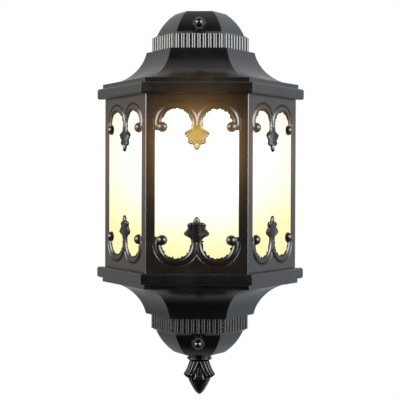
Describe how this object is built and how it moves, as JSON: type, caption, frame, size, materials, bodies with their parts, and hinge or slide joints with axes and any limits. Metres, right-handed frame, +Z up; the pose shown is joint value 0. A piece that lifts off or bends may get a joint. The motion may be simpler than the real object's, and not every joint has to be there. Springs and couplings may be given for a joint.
{
  "type": "outdoor wall light",
  "caption": "Half-hexagon cast wall lantern with frosted windows under paired arches, ball scrolls and leaves, a reeded domed roof, a matching base and a bud finial.",
  "frame": {"origin": "centre of the two wall screw holes, on the back face of the wall plate", "axes": "+Z up along the lantern, +Y into the wall, +X to the right as seen from the front"},
  "size_m": [0.2062, 0.0893, 0.38],
  "materials": {
    "black_casting": "semi-gloss black powder coat on cast aluminium",
    "black_nut": "gloss black",
    "frosted_glass": "acid-frosted, lit from inside",
    "seal_rubber": "matt",
    "zinc_steel": "bright zinc plate",
    "porcelain": "glazed white porcelain",
    "contact_brass": "plain brass",
    "lamp_plastic": "opal lamp bulb",
    "block_plastic": "cream polyamide"
  },
  "bodies": {
    "root": {"roof": "black_casting", "window_frame": "black_casting", "base": "black_casting", "finial": "black_casting", "upper_cap_nut": "black_nut", "lower_cap_nut": "black_nut", "front_pane": "frosted_glass", "left_pane": "frosted_glass", "right_pane": "frosted_glass", "upper_washer": "seal_rubber", "lower_washer": "seal_rubber", "cable_grommet": "seal_rubber", "wall_plate": "zinc_steel", "upper_stud": "zinc_steel", "lower_stud": "zinc_steel", "stud_nuts": "zinc_steel", "lamp_bracket": "zinc_steel", "bracket_screws": "zinc_steel", "holder_nipple": "zinc_steel", "nipple_nut": "zinc_steel", "pane_clips": "zinc_steel", "clip_screws": "zinc_steel", "left_tie_rod": "zinc_steel", "right_tie_rod": "zinc_steel", "tie_rod_nuts": "zinc_steel", "block_screw": "zinc_steel", "finial_screw": "zinc_steel", "lampholder": "porcelain", "screw_shell": "contact_brass", "centre_contact": "contact_brass", "terminal_screws": "contact_brass", "earth_screw": "contact_brass", "bulb": "lamp_plastic", "terminal_block": "block_plastic"}
  },
  "joints": []
}
